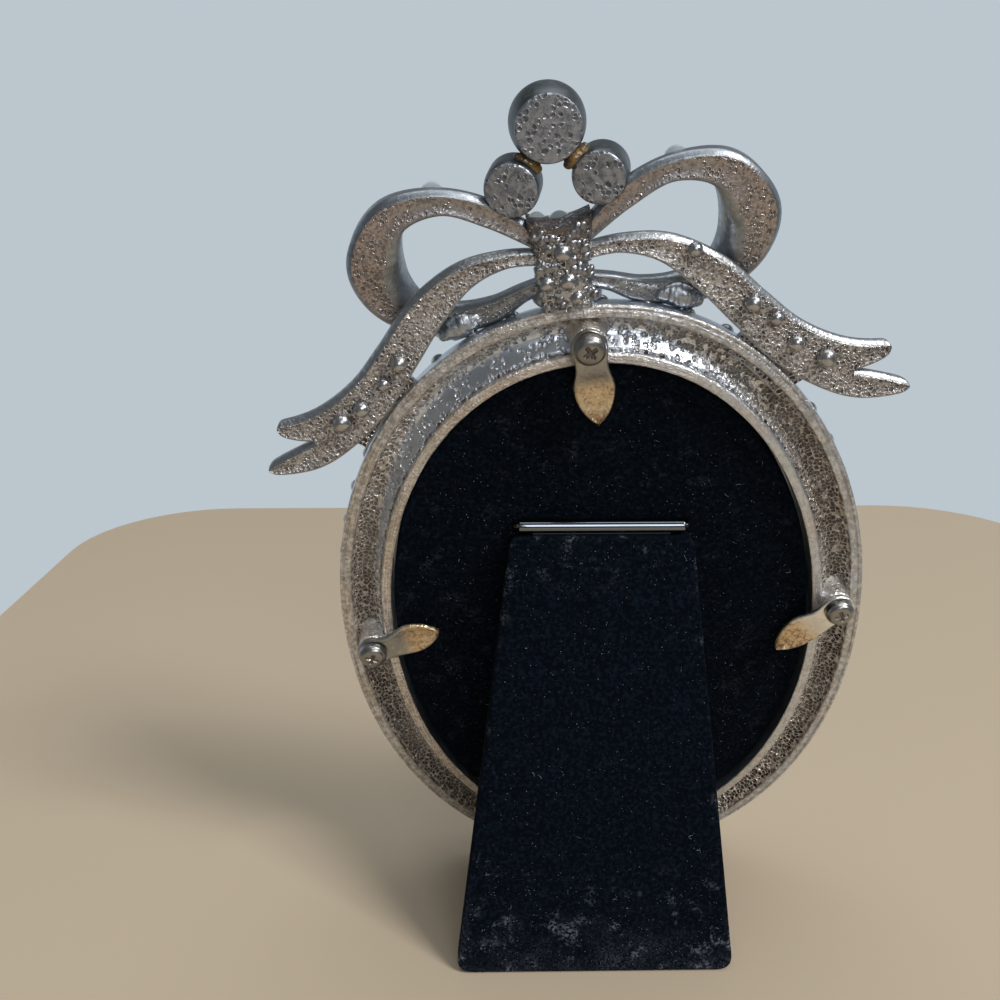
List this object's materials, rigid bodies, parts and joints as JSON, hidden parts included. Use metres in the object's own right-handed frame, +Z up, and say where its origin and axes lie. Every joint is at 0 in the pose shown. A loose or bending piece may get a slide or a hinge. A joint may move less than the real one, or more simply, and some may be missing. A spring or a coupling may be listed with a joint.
{
  "type": "oval picture frame",
  "caption": "Small oval easel-back picture frame with a cast ribbon bow and stone cups on top, turn buttons holding a velvet-covered back, and a hinged leg that folds flat.",
  "frame": {"origin": "on the ground, under the middle of the part's bounding box", "axes": "+Z up, picture side towards -Y, leg towards +Y"},
  "size_m": [0.089, 0.0406, 0.1298],
  "materials": {
    "antique_silver": "cast white metal with worn silver plate and brown patina in the hollows",
    "steel": "dull plated steel",
    "worn_bronze": "grey near the screw, worn to bronze at the tip",
    "chrome": "bright",
    "velvet": "short black velvet pile",
    "fibreboard": "bare board",
    "card": "blank matt card",
    "clear_glass": "clear",
    "stone": "polished dome"
  },
  "bodies": {
    "frame": {"frame_ring": "antique_silver", "bow_knot": "antique_silver", "bow_loop_left": "antique_silver", "bow_loop_right": "antique_silver", "ribbon_tail_left": "antique_silver", "ribbon_tail_right": "antique_silver", "crest_cup_left": "antique_silver", "crest_cup_right": "antique_silver", "crest_cup_large": "antique_silver", "button_screw_top": "steel", "button_screw_left": "steel", "button_screw_right": "steel", "hinge_pin": "steel", "tail_stone_left_1": "stone", "tail_stone_left_2": "stone", "tail_stone_left_3": "stone", "tail_stone_left_4": "stone", "tail_stone_left_5": "stone", "tail_stone_right_1": "stone", "tail_stone_right_2": "stone", "tail_stone_right_3": "stone", "tail_stone_right_4": "stone", "tail_stone_right_5": "stone", "knot_stone_upper": "stone", "knot_stone_lower": "stone", "crest_stone_left": "stone", "crest_stone_right": "stone", "crest_stone_large": "stone", "glass_pane": "clear_glass", "photo_insert": "card", "backing_board": "fibreboard", "backing_velvet": "velvet"},
    "strut": {"hinge_barrel": "chrome", "strut_board": "fibreboard", "strut_velvet": "velvet"},
    "top_button": {"turn_button_top": "worn_bronze"},
    "left_button": {"turn_button_left": "worn_bronze"},
    "right_button": {"turn_button_right": "worn_bronze"}
  },
  "joints": [
    {"name": "strut_hinge", "type": "hinge", "parent": "frame", "child": "strut", "pos_m": [-0.0028, 0.00466, 0.07071], "axis": [-1, 0, 0], "range_deg": [0, 20.7]},
    {"name": "top_button_swivel", "type": "hinge", "parent": "frame", "child": "top_button", "pos_m": [0.00069, 0.01404, 0.09837], "axis": [0, 0.9632, -0.2689], "range_deg": [-104, 96]},
    {"name": "left_button_swivel", "type": "hinge", "parent": "frame", "child": "left_button", "pos_m": [0.03149, 0.0003, 0.04915], "axis": [0, 0.9632, -0.2689], "range_deg": [-114, 86]},
    {"name": "right_button_swivel", "type": "hinge", "parent": "frame", "child": "right_button", "pos_m": [-0.03923, 0.00243, 0.05679], "axis": [0, 0.9632, -0.2689], "range_deg": [-138, 62]}
  ]
}
